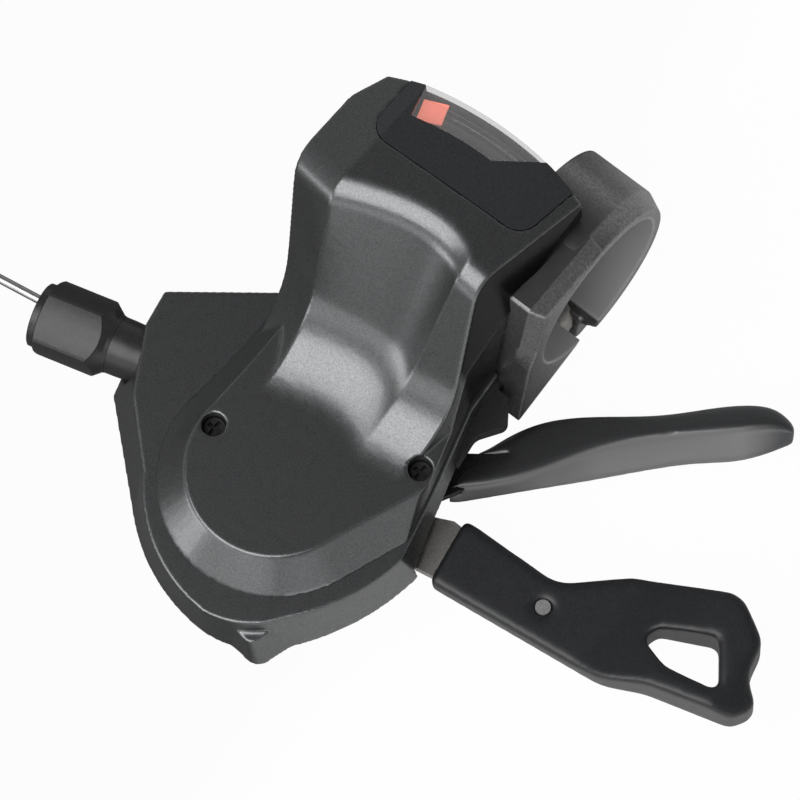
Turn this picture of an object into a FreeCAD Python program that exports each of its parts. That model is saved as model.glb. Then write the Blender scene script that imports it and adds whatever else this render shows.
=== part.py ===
import FreeCAD, Part
import math
import os

V = FreeCAD.Vector
UP = V(0, 0, 1)
ALONG_BAR = V(1, 0, 0)
TO_RIDER = V(0, 1, 0)

# The frame: the origin is the middle of the handlebar bore, X runs along the bar, Y points to the
# rider and Z points up, square to the pod's flat top. All sizes are in millimetres.

# handlebar clamp
BAR_RADIUS = 11.1
CLAMP_RADIUS = 13.9
CLAMP_NEAR_RADIUS = 12.7
CLAMP_HALF_WIDTH = 5.7
CLAMP_BEVEL_X = 3.2
CLAMP_FOOT = (-16.9, -13.1)
CLAMP_BEVEL_END_Z = 0.5
CLAMP_SLOT_LEFT = (-3.9, -10.4)
CLAMP_SLOT_RIGHT = (-0.1, -11.1)
CLAMP_SLOT_SLANT = (-0.478, -0.878)
CLAMP_FACE_Y = -15.95
CLAMP_BOLT_X = 0.5
CLAMP_BOLT_Z = -14.6
CLAMP_BOLT_RADIUS = 2.2
CLAMP_BOLT_START = -11.6
CLAMP_BOLT_HEAD = (3.4, 3.6)
CLAMP_LUG_HALF = 3.4
CLAMP_LUG_FLOOR = -18.0
CLAMP_SEAT_Y = 5.2
CLAMP_KEY_RADIUS = 2.0
CLAMP_KEY_FLOOR = 1.4
FILLER_SIDE = 1.7
BRACKET_SCREW_X = (-3.4, 0.8)
BRACKET_SCREW_Z = -8.0
BRACKET_SCREW_RADIUS = 1.5
BRACKET_SCREW_DEPTH = 2.0
BRACKET_SCREW_IN_BASE = 6.0

# pod, ramp and hood of the cover
AXLE_X = -11.6
AXLE_Y = -43.5
POD_RIM_RADIUS = 15.8
POD_TOP_RADIUS = 11.7
POD_TOP_Z = 0.0
RIM_Z = -4.4
COVER_WALL = 1.6
HOOD_TOP_Z = 21.0
HOOD_END_Z = 19.4
HOOD_FLOOR_Z = 13.2
HOOD_END_RADIUS = 47.9
BAR_GAP_RADIUS = 12.4
CLAMP_GAP_RADIUS = 14.4
CLAMP_GAP_X = -6.3
CLAMP_GAP = 0.4
RAMP_FOOT_RADIUS = 16.0
RAMP_RUN = 9.5
CREST_RADIUS = 5.0
FACET_SINK = 2.2
RIGHT_WALL = (4.39, -14.0)
RIGHT_WALL_LEAN = (1.0, -0.1375, 0.31)
COVER_SCREWS = ((-21.5, -44.05), (2.7, -32.4))
SCREW_HOLE_RADIUS = 1.55
SCREW_BOSS_WALL = 1.0
SCREW_HEAD_DROP = 1.6
SCREW_SEAT = 1.4
SCREW_SHANK_RADIUS = 1.1
SCREW_SHANK_DEPTH = 4.0
SCREW_CROSS = (2.0, 0.5, 0.7)

# gear window
BEZEL_LEFT = -25.8
BEZEL_RIGHT = -1.9
BEZEL_FRONT = -6.5
BEZEL_WALL = 1.3
WINDOW_INNER_RADIUS = 43.3
WINDOW_OUTER_RADIUS = 51.9
WINDOW_FROM = 89.2
WINDOW_OUTER_FROM = 78.4
WINDOW_TO = 104.8
WINDOW_FLOOR_Z = 17.4
DIAL_THICK = 0.6
DIAL_GAP = 0.3
DIAL_MARGIN = 1.6
DIAL_LEGS = (89.0, 103.0)

# base housing and lower cover
BASE_FLOOR_Z = -12.0
BASE_BORE_RADIUS = 16.6
BASE_LEDGE = 2.0
BASE_LEDGE_RADIUS = 13.6
LEVER_GAP_Z = -9.4
LUG_Z = (-9.4, -7.0)
NOSE_TOP_Z = -6.6
LOWER_TOP_RADIUS = 18.2
LOWER_BOTTOM_RADIUS = 14.4
LOWER_FLOOR_Z = -20.2
LOWER_BOTTOM_Z = -23.4
LOWER_WALL = 1.6

# axle and what turns on it
AXLE_RADIUS = 2.5
RUNNING_GAP = 0.05
BASE_PLATE_THICK = 1.2
BASE_PLATE_RADIUS = 13.4
AXLE_HEAD = (4.0, 1.4)
NUT_RADIUS = 4.2
DRUM_TOP_Z = -5.5
DRUM_FLANGE_RADIUS = 8.4
DRUM_FLANGE = 0.8
DRUM_SLEEVE_RADIUS = 4.4
RATCHET_Z = (-14.6, -13.2)
RATCHET_RADIUS = 8.6
RATCHET_TEETH = 14
RATCHET_TOOTH = 1.2
FEED_PIN = (11.6, 150.0)
FEED_PIN_RADIUS = 1.2
STOP_PIN = (12.4, -62.0)
STOP_PIN_RADIUS = 1.3
NIPPLE_RADIUS = 1.5
WRAP_ANGLE = 150.0
# each spring: height of its foot, radius of the coil, size of the wire, turns
DRUM_SPRING = (-12.9, 5.6, 0.7, 2.0)
MAIN_LEVER_SPRING = (-18.8, 5.0, 0.5, 1.3)
RELEASE_LEVER_SPRING = (-10.9, 2.2, 0.5, 1.4)

# inner cable and adjuster
CABLE_RADIUS = 0.6
ADJUSTER_START = (-38.5, -41.5, -8.2)
ADJUSTER_ANGLE = 15.5
CABLE_ANGLE = 9.5
CABLE_SIDE_STEP = 0.3
CABLE_OUTSIDE = 23.5
CAP_LENGTH = 5.0
CAP_RADIUS = 0.95
CAP_OVERLAP = 1.5
CABLE_HOLE_RADIUS = 1.4
KNOB_RADIUS = 6.05
KNOB_FROM = 3.2
KNOB_LENGTH = 8.5
KNOB_FLUTES = 6
FLUTE_RADIUS = 2.2
FLUTE_OFFSET = 1.6
COLLAR_RADIUS = 4.4
COLLAR_LENGTH = 1.2
SLEEVE_RADIUS = 4.2
SLEEVE_GAP = 0.1
SLEEVE_FROM = -1.5
SLEEVE_ROOT_FROM = -4.5
SLEEVE_ROOT_RADIUS = 3.6
BOLT_RADIUS = 3.2
BOLT_INNER_END = -8.0
CASING_SOCKET_RADIUS = 2.6
CASING_SOCKET_FROM = 2.0
BOLT_HOLE_RADIUS = 1.5

# levers
PLATE_THICK = 1.6
MAIN_PLATE_TOP = -15.6
MAIN_HUB_RADIUS = 8.0
MAIN_PAD_TOP = -15.0
# the thumb pad's stations: upper edge, lower edge, and how far across the top face reaches
THUMB_STATIONS = (
    ((3.4, -22.8), (3.9, -29.8), 0.93),
    ((4.8, -19.6), (6.7, -27.2), 0.92),
    ((7.9, -13.7), (12.0, -21.4), 0.86),
    ((13.5, -8.4), (17.3, -15.9), 0.56),
    ((20.4, -2.4), (25.7, -6.5), 0.48),
    ((26.9, 4.1), (31.2, -1.2), 0.50),
    ((30.6, 5.9), (33.3, 2.2), 0.50),
    ((33.3, 5.5), (34.3, 4.0), 0.50))
THUMB_EDGE_Z = -15.7
THUMB_LOWER_Z = -19.8
THUMB_UNDER_Z = -21.0
THUMB_BACK_Z = -18.8
THUMB_MIDDLE_Z = -17.8
THUMB_ROUNDING = 0.9
THUMB_FULL_WIDTH = 7.0
THUMB_TIP_SHARE = 0.45
THUMB_UNDER_SHARE = 0.7
RELEASE_PLATE_TOP = -11.2
RELEASE_PAD_TOP = -9.9
RELEASE_PAD_BOTTOM = -14.0
RELEASE_END_TOP = -6.2
RELEASE_TIP_TOP = -9.0
RELEASE_EDGE = 0.7
RELEASE_POST = (1.5, -39.0)
RELEASE_POST_RADIUS = 1.5
RELEASE_HUB_RADIUS = 3.2
RIVET = (24.2, -34.9)
RIVET_RADIUS = 1.0

# gear indicator
POINTER_ANGLE = 100.8
POINTER_HUB_Z = (-5.2, -4.2)
POINTER_TOP = 18.0
POINTER_THICK = 0.6
POINTER_WIDTH = 3.0
POINTER_HUB_RADIUS = 4.6
FLAG_RADII = (43.6, 46.3)


def rounded_wire(corners, place):
    """A closed wire through corners (a, b, radius); place turns a pair (a, b) into a point."""
    joins = []
    for index, (a, b, radius) in enumerate(corners):
        here = V(a, b, 0)
        before = corners[index - 1]
        after = corners[(index + 1) % len(corners)]
        back = (V(before[0], before[1], 0) - here).normalize()
        ahead = (V(after[0], after[1], 0) - here).normalize()
        half_angle = 0.5 * back.getAngle(ahead)
        reach = radius / math.tan(half_angle)
        inward = (back + ahead).normalize() if radius else V(0, 0, 0)
        middle = here + inward * (radius / math.sin(half_angle) - radius)
        joins.append((here + back * reach, middle, here + ahead * reach, radius))
    edges = []
    for index, (first, middle, last, radius) in enumerate(joins):
        if radius:
            points = [place(point.x, point.y) for point in (first, middle, last)]
            edges.append(Part.Arc(*points).toShape())
        following = joins[(index + 1) % len(joins)][0]
        if (following - last).Length > 1e-6:
            edges.append(Part.LineSegment(place(last.x, last.y), place(following.x, following.y)).toShape())
    return Part.Wire(edges)


def level(z):
    """Places an outline flat at height z."""
    return lambda x, y: V(x, y, z)


def across(x):
    """Places an outline square to the bar at x, with its pairs read as (y, z)."""
    return lambda y, z: V(x, y, z)


def plate(corners, low, high):
    """A flat piece with rounded corners, between two heights."""
    return Part.Face(rounded_wire(corners, level(low))).extrude(V(0, 0, high - low))


def bar_block(corners, low, high):
    """A piece with one section along the bar, between two places on the bar."""
    return Part.Face(rounded_wire(corners, across(low))).extrude(V(high - low, 0, 0))


def post(x, y, low, high, radius):
    return Part.makeCylinder(radius, high - low, V(x, y, low), UP)


def axle_post(low, high, radius):
    return post(AXLE_X, AXLE_Y, low, high, radius)


def polar(radius, degrees, centre=(AXLE_X, AXLE_Y)):
    angle = math.radians(degrees)
    return centre[0] + radius * math.cos(angle), centre[1] + radius * math.sin(angle)


def save(name, shape):
    shape.exportStep("parts/" + name + ".step")


def pod_form(inset, low):
    """The pod: a round drum shape with a wide bevel on its left and front, straight on its right."""
    back_y = -19.0
    round_end = -22.6

    def ring(radius, waist, side, z):
        left = AXLE_X - radius
        place = level(z)
        start = place(waist - 0.4, back_y)
        here = place(*polar(radius, round_end))
        edges = [
            Part.Arc(start, place(waist, -32.0), place(left, AXLE_Y)).toShape(),
            Part.Arc(place(left, AXLE_Y), place(AXLE_X, AXLE_Y - radius), here).toShape()]
        for x, y in (side, (4.9, -33.4), (1.2, -20.5), (1.2, back_y)):
            edges.append(Part.LineSegment(here, place(x - inset, y)).toShape())
            here = place(x - inset, y)
        edges.append(Part.LineSegment(here, start).toShape())
        return Part.Wire(edges)

    rim = ring(POD_RIM_RADIUS - inset, -26.5 + inset, (6.6, -40.2), low)
    top = ring(POD_TOP_RADIUS - inset, -23.0 + inset, (4.6, -34.6), POD_TOP_Z - inset)
    return Part.makeLoft([rim, top], True, True)


def neck_form(inset, low):
    """The ramp and hood: a hollow slope under an arched crest, with a flat facet down each side."""

    def section(x, lean, foot_y, crest_y, flat_drop, sink):
        flat_z = POD_TOP_Z - inset - flat_drop
        sink = inset + sink
        corners = [
            (foot_y - RAMP_RUN, flat_z, 0),
            (foot_y + 1.2 * sink, flat_z, RAMP_FOOT_RADIUS),
            (crest_y + 0.6 * sink, HOOD_TOP_Z - sink, CREST_RADIUS),
            (6.0, HOOD_END_Z - sink, 0),
            (6.0, HOOD_FLOOR_Z + inset, 0),
            (0.0, HOOD_FLOOR_Z + inset, 0),
            (-BAR_GAP_RADIUS - inset, POD_TOP_Z, 0),
            (-BAR_GAP_RADIUS - inset, low, 0),
            (foot_y - RAMP_RUN, low, 0)]
        return rounded_wire(corners, lambda y, z: V(x + lean * z, y, z))

    left_edge = section(-26.5 + inset, -0.24, -28.6, -15.6, POD_TOP_Z - RIM_Z - 0.1, FACET_SINK)
    left_crease = section(-19.7 + 0.5 * inset, -0.2, -28.0, -15.3, 0.0, 0.0)
    right_crease = section(-4.65, 0.0, -28.2, -13.9, 0.0, 0.0)
    right_edge = section(5.0, 0.0, -29.2, -15.4, 0.0, FACET_SINK)
    slope = [left_crease, section(-15.4, -0.1, -27.8, -12.6, 0.0, 0.0),
             section(-10.7, 0.0, -27.0, -11.5, 0.0, 0.0), right_crease]
    neck = Part.makeLoft(slope, True, False)
    for facet in ([left_edge, left_crease], [right_crease, right_edge]):
        neck = neck.fuse(Part.makeLoft(facet, True, True))

    corners = [
        (1.2 - inset, 8.0, 0),
        (-25.9 + inset, 8.0, 0),
        (-31.4 + inset, -5.0, 6.0),
        (-31.4 + inset, -40.0, 0),
        (6.6 - inset, -40.2, 0),
        (1.2 - inset, -20.5, 0)]
    outline = plate(corners, low - 0.1, HOOD_TOP_Z + 4.0)
    end = axle_post(low - 1.0, HOOD_TOP_Z + 4.0, HOOD_END_RADIUS - inset)
    lean = V(*RIGHT_WALL_LEAN)
    beyond = Part.makeBox(90.0, 90.0, 30.0, V(-45.0, -45.0, 0))
    foot = V(RIGHT_WALL[0] - inset * lean.Length, RIGHT_WALL[1], 0)
    beyond.Placement = FreeCAD.Placement(foot, FreeCAD.Rotation(UP, lean)).multiply(beyond.Placement)
    return neck.common(outline).common(end).cut(beyond)


def tangent_point(point, radius):
    """Where a line from a point on the left touches a circle about the bar, on its upper side, as (y, z)."""
    away = math.hypot(*point)
    angle = math.atan2(point[1], point[0]) % (2.0 * math.pi) - math.acos(radius / away)
    return radius * math.cos(angle), radius * math.sin(angle)


def clamp_shoulder(gap):
    """The clamp's solid side, a leaning face that the shifter body is screwed against."""
    top = V(*tangent_point(CLAMP_FOOT, CLAMP_RADIUS), 0)
    foot = V(*CLAMP_FOOT, 0)
    fall = (foot - top).normalize()
    away = V(fall.y, -fall.x, 0) * gap
    upper = top - fall * gap + away
    lower = foot + fall * gap + away
    return [(lower.x, lower.y, 0), (upper.x, upper.y, 0), (-8.0, upper.y, 0), (-6.0, lower.y, 0)]


def bar_clearance(extra):
    """The space under the hood for the bar and, further right, for the clamp round it."""
    bar = Part.makeCylinder(BAR_GAP_RADIUS + extra, 60.0, V(-45.0, 0, 0), ALONG_BAR)
    clamp = Part.makeCylinder(CLAMP_GAP_RADIUS + extra, 40.0, V(CLAMP_GAP_X - extra, 0, 0), ALONG_BAR)
    shoulder = bar_block(clamp_shoulder(CLAMP_GAP + extra), CLAMP_GAP_X - extra, 20.0)
    return bar.fuse([clamp, shoulder])


def cover_form():
    return pod_form(0.0, RIM_Z).fuse(neck_form(0.0, RIM_Z)).cut(bar_clearance(0.0)).removeSplitter()


def cover_cavity(wall):
    low = RIM_Z - 3.0
    pod = pod_form(wall, low)
    neck = neck_form(wall, low).cut(bar_clearance(wall))
    return pod.fuse(neck).removeSplitter()


def bezel_zone(gap):
    """The part of the hood that the bezel takes: its end, with two rounded corners."""
    corners = [
        (BEZEL_LEFT - gap, 9.0, 0), (BEZEL_LEFT - gap, BEZEL_FRONT - gap, 3.0),
        (BEZEL_RIGHT + gap, BEZEL_FRONT + 0.8 - gap, 3.0), (BEZEL_RIGHT + 2.0 + gap, 9.0, 0)]
    return plate(corners, HOOD_FLOOR_Z + 2.6, HOOD_TOP_Z + 3.0)


def window_zone(gap):
    """A wedge about the axle, open to the hood's end, with a slanted right side."""
    inner = WINDOW_INNER_RADIUS + gap
    outer = WINDOW_OUTER_RADIUS
    spread = math.degrees(gap / inner)
    first = WINDOW_FROM + spread
    outer_first = WINDOW_OUTER_FROM + spread
    last = WINDOW_TO - spread
    place = level(WINDOW_FLOOR_Z + gap)
    edges = [
        Part.Arc(place(*polar(inner, first)), place(*polar(inner, 0.5 * (first + last))),
                 place(*polar(inner, last))).toShape(),
        Part.LineSegment(place(*polar(inner, last)), place(*polar(outer, last))).toShape(),
        Part.Arc(place(*polar(outer, last)), place(*polar(outer, 0.5 * (outer_first + last))),
                 place(*polar(outer, outer_first))).toShape(),
        Part.LineSegment(place(*polar(outer, outer_first)), place(*polar(inner, first))).toShape()]
    return Part.Face(Part.Wire(edges)).extrude(V(0, 0, 8.0))


def build_cover_and_window():
    solid = cover_form()
    cavity = cover_cavity(COVER_WALL)
    cover = solid.cut(cavity).cut(bezel_zone(0.0))
    ceiling = POD_TOP_Z - 0.5 * COVER_WALL
    for x, y in COVER_SCREWS:
        cover = cover.fuse(post(x, y, RIM_Z, ceiling, SCREW_HOLE_RADIUS + SCREW_BOSS_WALL).common(solid))
        cover = cover.cut(post(x, y, RIM_Z - 1.0, POD_TOP_Z + 1.0, SCREW_HOLE_RADIUS))
    save("upper_cover", cover.removeSplitter())

    cap = solid.common(bezel_zone(0.0)).cut(cover_cavity(BEZEL_WALL))
    save("display_bezel", cap.cut(window_zone(0.0)))
    save("display_lens", cap.common(window_zone(RUNNING_GAP)))

    # grey plate under the window that the red flag sweeps over, on two short legs
    top = POINTER_TOP - POINTER_THICK - DIAL_GAP
    under = top - DIAL_THICK
    within = axle_post(WINDOW_FLOOR_Z - 4.0, WINDOW_FLOOR_Z + 4.0, HOOD_END_RADIUS - 2.4)
    sector = window_zone(-DIAL_MARGIN).common(within)
    sector.translate(V(0, 0, under - (WINDOW_FLOOR_Z - DIAL_MARGIN)))
    slab = Part.makeBox(60.0, 60.0, DIAL_THICK, V(-40.0, -20.0, under))
    legs = [post(*polar(44.0, angle), HOOD_FLOOR_Z + COVER_WALL, under, 0.8) for angle in DIAL_LEGS]
    save("dial_plate", sector.common(slab).fuse(legs))


def build_cover_screws():
    screws = []
    head_top = POD_TOP_Z - SCREW_HEAD_DROP
    seat = RIM_Z + SCREW_SEAT
    length, width, depth = SCREW_CROSS
    for x, y in COVER_SCREWS:
        screw = post(x, y, seat, head_top, SCREW_HOLE_RADIUS - 0.15)
        screw = screw.fuse(post(x, y, RIM_Z - SCREW_SHANK_DEPTH, seat, SCREW_SHANK_RADIUS))
        floor = head_top - depth
        screw = screw.cut(Part.makeBox(length, width, 1.0, V(x - 0.5 * length, y - 0.5 * width, floor)))
        screw = screw.cut(Part.makeBox(width, length, 1.0, V(x - 0.5 * width, y - 0.5 * length, floor)))
        screws.append(screw)
    save("cover_screws", Part.makeCompound(screws))


def base_outline(z, back_y, corner, side, front, right):
    """The housing's outline at one height: shoulder on the left, round front, straight back."""
    place = level(z)
    points = [place(-26.0, back_y), place(-26.0, -23.2), place(*corner[0]), place(*corner[1]),
              place(*side[0]), place(*side[1])]
    edges = [Part.LineSegment(points[i], points[i + 1]).toShape() for i in range(len(points) - 1)]
    here = points[-1]
    for through, end in front:
        edges.append(Part.Arc(here, place(*through), place(*end)).toShape())
        here = place(*end)
    for x, y in right + ((1.6, back_y),):
        edges.append(Part.LineSegment(here, place(x, y)).toShape())
        here = place(x, y)
    edges.append(Part.LineSegment(here, points[0]).toShape())
    return Part.Wire(edges)


def base_form():
    top = base_outline(
        RIM_Z, -15.6, ((-39.1, -33.3), (-38.1, -38.4)), ((-33.3, -46.6), (-25.8, -53.5)),
        (((-17.2, -60.9), (-8.0, -63.0)), ((-2.6, -60.8), (0.6, -57.4)), ((5.0, -50.6), (7.4, -42.2))),
        ((5.9, -35.8), (2.0, -21.4)))
    floor = base_outline(
        BASE_FLOOR_Z, -17.0, ((-39.8, -33.6), (-39.6, -39.6)), ((-37.4, -46.9), (-25.0, -57.6)),
        (((-17.4, -62.2), (-8.6, -63.9)), ((-2.2, -62.2), (1.9, -58.6)), ((5.8, -52.4), (9.0, -40.6))),
        ((6.8, -35.0), (2.4, -21.0)))
    body = Part.makeLoft([top, floor], True, True)
    nose_top = [(-6.4, -61.8, 0), (-1.0, -62.3, 1.2), (0.4, -58.0, 0), (-3.0, -56.0, 0)]
    nose_floor = [(-5.5, -62.9, 0), (0.5, -63.4, 2.0), (2.0, -58.6, 0), (-3.0, -56.0, 0)]
    nose = Part.makeLoft([rounded_wire(nose_top, level(NOSE_TOP_Z)),
                          rounded_wire(nose_floor, level(BASE_FLOOR_Z))], True, True)
    return body.fuse(nose)


def along_adjuster(shape):
    """Moves a piece built along X from zero outwards to the adjuster's axis."""
    shape.rotate(V(0, 0, 0), UP, 180.0 + ADJUSTER_ANGLE)
    shape.translate(V(*ADJUSTER_START))
    return shape


def adjuster_rod(first, last, radius):
    return Part.makeCylinder(radius, last - first, V(first, 0, 0), ALONG_BAR)


def cable_line():
    """A point where the cable passes the housing wall, its direction inwards, and its drum radius."""
    turn = math.radians(ADJUSTER_ANGLE)
    side = V(-math.sin(turn), math.cos(turn), 0)
    start = V(*ADJUSTER_START) + side * CABLE_SIDE_STEP
    inward = V(math.cos(math.radians(CABLE_ANGLE)), math.sin(math.radians(CABLE_ANGLE)), 0)
    reach = (V(AXLE_X, AXLE_Y, start.z) - start).dot(inward)
    tangent = start + inward * reach
    radius = (tangent - V(AXLE_X, AXLE_Y, start.z)).Length
    return start, inward, tangent, radius


def build_base_housing():
    base = base_form()
    base = base.cut(axle_post(BASE_FLOOR_Z - 1.0, RIM_Z - BASE_LEDGE, BASE_BORE_RADIUS))
    base = base.cut(axle_post(BASE_FLOOR_Z - 1.0, RIM_Z + 1.0, BASE_LEDGE_RADIUS))
    pointer_room = plate([(-24.0, -32.0, 0), (-4.0, -32.0, 0), (-4.0, -18.0, 0), (-24.0, -18.0, 0)],
                         POINTER_HUB_Z[0] - 1.0, RIM_Z + 1.0)
    base = base.cut(pointer_room)
    # levers come out under the wall on the right
    lever_gap = plate([(-4.0, -42.6, 0), (5.0, -42.6, 0), (6.2, -41.2, 0), (12.0, -41.2, 0), (12.0, -20.0, 0),
                       (-4.0, -20.0, 0)], BASE_FLOOR_Z - 1.0, LEVER_GAP_Z)
    base = base.cut(lever_gap)
    boss = post(*RELEASE_POST, LEVER_GAP_Z + 0.6, RIM_Z, RELEASE_HUB_RADIUS)
    base = base.fuse(boss).cut(post(*RELEASE_POST, LEVER_GAP_Z, RIM_Z - 1.5, RELEASE_POST_RADIUS))
    base = base.cut(along_adjuster(adjuster_rod(BOLT_INNER_END - 2.0, 6.0, BOLT_RADIUS + RUNNING_GAP)))
    start, inward, tangent, radius = cable_line()
    base = base.cut(Part.makeCylinder(CABLE_HOLE_RADIUS, 30.0, start, inward))
    for x, y in COVER_SCREWS:
        base = base.cut(post(x, y, RIM_Z - SCREW_SHANK_DEPTH, RIM_Z + 1.0, SCREW_SHANK_RADIUS))
    base = base.cut(bracket_screws())
    sleeve = adjuster_rod(SLEEVE_FROM, KNOB_FROM - SLEEVE_GAP, SLEEVE_RADIUS)
    sleeve = along_adjuster(sleeve.fuse(adjuster_rod(SLEEVE_ROOT_FROM, SLEEVE_FROM, SLEEVE_ROOT_RADIUS)))
    bore = along_adjuster(adjuster_rod(SLEEVE_ROOT_FROM - 1.0, KNOB_FROM, BOLT_RADIUS + RUNNING_GAP))
    save("adjuster_sleeve", sleeve.cut(bore))
    save("base_housing", base.cut(sleeve).removeSplitter())


def build_lower_cover():
    top = BASE_FLOOR_Z
    corners = [
        (0.0, LOWER_BOTTOM_Z, 0), (LOWER_BOTTOM_RADIUS - 1.5, LOWER_BOTTOM_Z, 0),
        (LOWER_BOTTOM_RADIUS, LOWER_BOTTOM_Z + 1.2, 0),
        (LOWER_TOP_RADIUS, top, 0),
        (BASE_BORE_RADIUS - 0.1, top, 0), (BASE_BORE_RADIUS - 0.1, top + 1.6, 0),
        (BASE_BORE_RADIUS - LOWER_WALL, top + 1.6, 0), (BASE_BORE_RADIUS - LOWER_WALL, top - 1.0, 0),
        (LOWER_BOTTOM_RADIUS - 0.4, LOWER_FLOOR_Z, 0), (4.4, LOWER_FLOOR_Z, 0),
        (4.4, LOWER_FLOOR_Z - 1.8, 0), (0.0, LOWER_FLOOR_Z - 1.8, 0)]
    dish = Part.Face(rounded_wire(corners, lambda r, z: V(AXLE_X + r, AXLE_Y, z)))
    dish = dish.revolve(V(AXLE_X, AXLE_Y, 0), UP, 360.0)
    lever_gap = plate([(-4.0, -50.0, 0), (12.0, -50.0, 0), (12.0, -20.0, 0), (-9.0, -20.0, 0)],
                      LOWER_FLOOR_Z + 0.4, top + 3.0)
    save("lower_cover", dish.cut(lever_gap))


def build_axle():
    low = LOWER_FLOOR_Z
    high = low + BASE_PLATE_THICK
    pin = polar(*STOP_PIN)
    disc = axle_post(low, high, BASE_PLATE_RADIUS).cut(axle_post(low - 1.0, high + 1.0, AXLE_RADIUS))
    save("base_plate", disc.cut(post(*pin, low - 1.0, high + 1.0, STOP_PIN_RADIUS)))
    head_radius, head_height = AXLE_HEAD
    head = axle_post(low - head_height, low, head_radius)
    nut_top = POD_TOP_Z - 2.4
    save("main_axle", head.fuse(axle_post(low, nut_top - 0.2, AXLE_RADIUS)))
    hexagon = [(*polar(NUT_RADIUS, 60.0 * side), 0) for side in range(6)]
    nut = plate(hexagon, POINTER_HUB_Z[1] + 0.2, nut_top)
    save("axle_nut", nut.cut(axle_post(POINTER_HUB_Z[0], nut_top + 1.0, AXLE_RADIUS)))
    save("stop_pawl_pin", post(*pin, low, RATCHET_Z[1], STOP_PIN_RADIUS))
    plate_under = RELEASE_PLATE_TOP - PLATE_THICK
    save("release_post", post(*RELEASE_POST, plate_under - 0.6, RIM_Z - 1.5, RELEASE_POST_RADIUS))


def build_drum():
    start, inward, tangent, radius = cable_line()
    groove = radius - CABLE_RADIUS
    low = start.z - CABLE_RADIUS - 0.2 - DRUM_FLANGE
    high = start.z + CABLE_RADIUS + 0.2 + DRUM_FLANGE
    drum = axle_post(low, low + DRUM_FLANGE, DRUM_FLANGE_RADIUS)
    upper_flange = axle_post(high - DRUM_FLANGE, high, DRUM_FLANGE_RADIUS)
    sleeve = axle_post(RATCHET_Z[1], low, DRUM_SLEEVE_RADIUS)
    drum = drum.fuse([axle_post(low, DRUM_TOP_Z, groove), upper_flange, sleeve])
    drum = drum.cut(axle_post(RATCHET_Z[0], DRUM_TOP_Z + 1.0, AXLE_RADIUS + RUNNING_GAP))
    nipple_angle = CABLE_ANGLE + 90.0 - WRAP_ANGLE
    nipple = post(*polar(radius, nipple_angle), low + 0.3, high - 0.3, NIPPLE_RADIUS)
    drum = drum.cut(nipple)
    save("wire_drum", drum.removeSplitter())
    save("cable_nipple", nipple)

    # the wound end of the cable lies in the groove from the tangent point to the nipple
    first = CABLE_ANGLE + 90.0 - 4.0
    last = nipple_angle + 15.0
    section = [(radius + CABLE_RADIUS * math.cos(math.radians(45.0 * n)),
                start.z + CABLE_RADIUS * math.sin(math.radians(45.0 * n)), 0) for n in range(8)]
    wrap = Part.Face(rounded_wire(section, lambda r, z: V(AXLE_X + r, AXLE_Y, z)))
    wrap = wrap.revolve(V(AXLE_X, AXLE_Y, 0), UP, first - last)
    wrap.rotate(V(AXLE_X, AXLE_Y, 0), UP, last)
    save("cable_wrap", wrap)

    teeth = []
    step = 360.0 / RATCHET_TEETH
    for tooth in range(RATCHET_TEETH):
        teeth.append((*polar(RATCHET_RADIUS, tooth * step), 0))
        teeth.append((*polar(RATCHET_RADIUS - RATCHET_TOOTH, tooth * step + 0.15 * step), 0))
    bore = axle_post(RATCHET_Z[0] - 1.0, RATCHET_Z[1] + 1.0, AXLE_RADIUS + RUNNING_GAP)
    save("ratchet_plate", plate(teeth, *RATCHET_Z).cut(bore))


def coil(x, y, low, radius, wire, turns):
    """A spring of square wire, wound about an upright axis."""
    pitch = wire * 1.35
    helix = Part.makeHelix(pitch, pitch * turns, radius)
    half = 0.5 * wire
    inner = radius - half
    outer = radius + half
    square = Part.makePolygon([V(inner, 0, -half), V(outer, 0, -half), V(outer, 0, half), V(inner, 0, half),
                               V(inner, 0, -half)])
    spring = Part.Wire(helix).makePipeShell([square], True, True)
    spring.translate(V(x, y, low + half))
    return spring


def build_springs():
    save("drum_spring", coil(AXLE_X, AXLE_Y, *DRUM_SPRING))
    save("main_lever_spring", coil(AXLE_X, AXLE_Y, *MAIN_LEVER_SPRING))
    save("release_lever_spring", coil(*RELEASE_POST, *RELEASE_LEVER_SPRING))


def build_cable():
    start, inward, tangent, radius = cable_line()
    outer = start - inward * CABLE_OUTSIDE
    length = (tangent - outer).Length
    save("inner_cable", Part.makeCylinder(CABLE_RADIUS, length, outer, inward))
    cap = Part.makeCylinder(CAP_RADIUS, CAP_LENGTH, outer + inward * CAP_OVERLAP, inward * -1.0)
    cap = cap.cut(Part.makeCylinder(CABLE_RADIUS, length, outer, inward))
    save("cable_end_cap", cap)


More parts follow.
